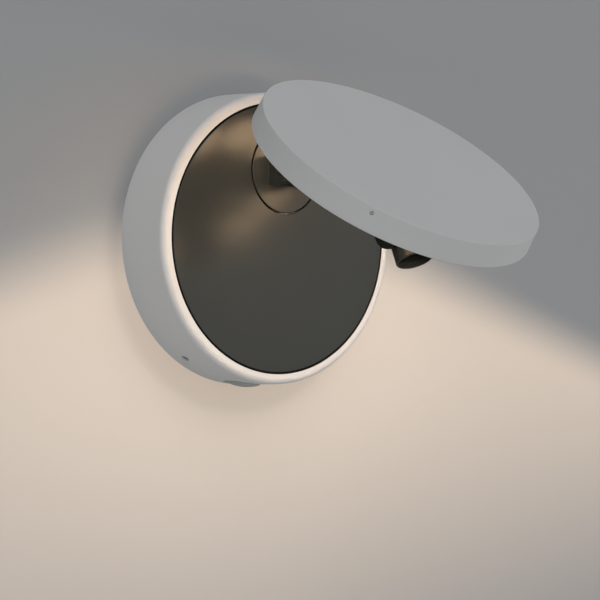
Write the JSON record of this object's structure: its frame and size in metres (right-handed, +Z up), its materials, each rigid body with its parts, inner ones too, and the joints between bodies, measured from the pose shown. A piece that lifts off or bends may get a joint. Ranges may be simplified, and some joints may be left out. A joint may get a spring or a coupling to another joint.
{
  "type": "pivoting spotlight wall light",
  "caption": "Round wall light: shallow drum base with a turntable in its face, a hinged arm, a tilting disc head lit from below and a small swivelling spot.",
  "frame": {"origin": "centre of the drum's back on the wall plane", "axes": "+Z up, -Y out of the wall, +X to the right of a person facing the wall"},
  "size_m": [0.14, 0.1541, 0.14],
  "materials": {
    "zinc_plate": "satin",
    "grommet_rubber": "matte",
    "pale_paint": "matte",
    "black_screw": "satin",
    "dark_paint": "satin",
    "screw_steel": "satin",
    "bearing_plastic": "satin",
    "driver_case": "satin",
    "terminal_plastic": "satin",
    "earth_brass": "satin",
    "switch_plastic": "matte",
    "return_rubber": "matte",
    "pale_button": "matte",
    "washer_plastic": "matte",
    "spring_steel": "satin",
    "pin_steel": "satin",
    "opal_plastic": "matte",
    "bare_aluminium": "satin",
    "circuit_board": "satin",
    "led_phosphor": "satin",
    "reflector_plastic": "gloss",
    "black_paint": "matte",
    "clear_lens": "gloss"
  },
  "bodies": {
    "base": {"wall_plate": "zinc_plate", "cable_grommet": "grommet_rubber", "base_shell": "pale_paint", "base_grub_screws": "black_screw", "face_plate": "dark_paint", "face_plate_screws": "screw_steel", "bearing_housing": "bearing_plastic", "bearing_screws": "screw_steel", "stop_pin": "screw_steel", "led_driver": "driver_case", "driver_screws": "screw_steel", "terminal_block": "terminal_plastic", "terminal_screws": "screw_steel", "earth_stud": "earth_brass", "switch_body": "switch_plastic", "button_return": "return_rubber"},
    "button": {"push_button": "pale_button"},
    "turntable": {"turntable": "dark_paint", "thrust_washer": "washer_plastic", "wave_washer": "spring_steel", "retaining_collar": "zinc_plate", "collar_screws": "screw_steel", "base_hinge_pin": "pin_steel", "base_hinge_washers": "washer_plastic"},
    "arm": {"arm": "dark_paint", "arm_cover": "dark_paint", "head_hinge_pin": "pin_steel", "head_hinge_washers": "washer_plastic"},
    "head": {"head_shell": "pale_paint", "head_hub": "dark_paint", "hub_screws": "black_screw", "diffuser": "opal_plastic", "head_grub_screws": "black_screw", "heat_spreader": "bare_aluminium", "led_board": "circuit_board", "leds": "led_phosphor", "outer_reflector": "reflector_plastic", "inner_reflector": "reflector_plastic", "swivel_screw": "black_screw", "swivel_washer": "washer_plastic"},
    "yoke": {"spot_yoke": "black_paint"},
    "spot": {"spot_barrel": "black_paint", "spot_pivot_screws": "black_screw", "spot_baffle": "black_paint", "spot_lens": "clear_lens", "spot_led": "led_phosphor", "spot_end_cap": "black_paint"}
  },
  "joints": [
    {"name": "turntable_pan", "type": "hinge", "parent": "base", "child": "turntable", "pos_m": [0, -0.029, 0.0313], "axis": [0, 1, 0], "range_deg": [-170, 170]},
    {"name": "arm_tilt", "type": "hinge", "parent": "turntable", "child": "arm", "pos_m": [0, -0.0361, 0.0313], "axis": [-1, 0, 0], "range_deg": [-25, 20]},
    {"name": "head_tilt", "type": "hinge", "parent": "arm", "child": "head", "pos_m": [0, -0.08192, 0.02721], "axis": [-1, 0, 0], "range_deg": [-50, 30]},
    {"name": "spot_turn", "type": "hinge", "parent": "head", "child": "yoke", "pos_m": [0, -0.11401, 0.01305], "axis": [0, -0.5969, 0.8023], "range_deg": [-85, 95]},
    {"name": "spot_tilt", "type": "hinge", "parent": "yoke", "child": "spot", "pos_m": [0, -0.10595, 0.00222], "axis": [-0.9962, 0.0699, 0.052], "range_deg": [-60, 24]},
    {"name": "button_press", "type": "slide", "parent": "base", "child": "button", "axis": [0.1736, 0, 0.9848], "range_m": [0, 0.001], "stiffness_N_per_m": 150, "springref_m": -0.002, "deforming": ["button_return"]}
  ]
}
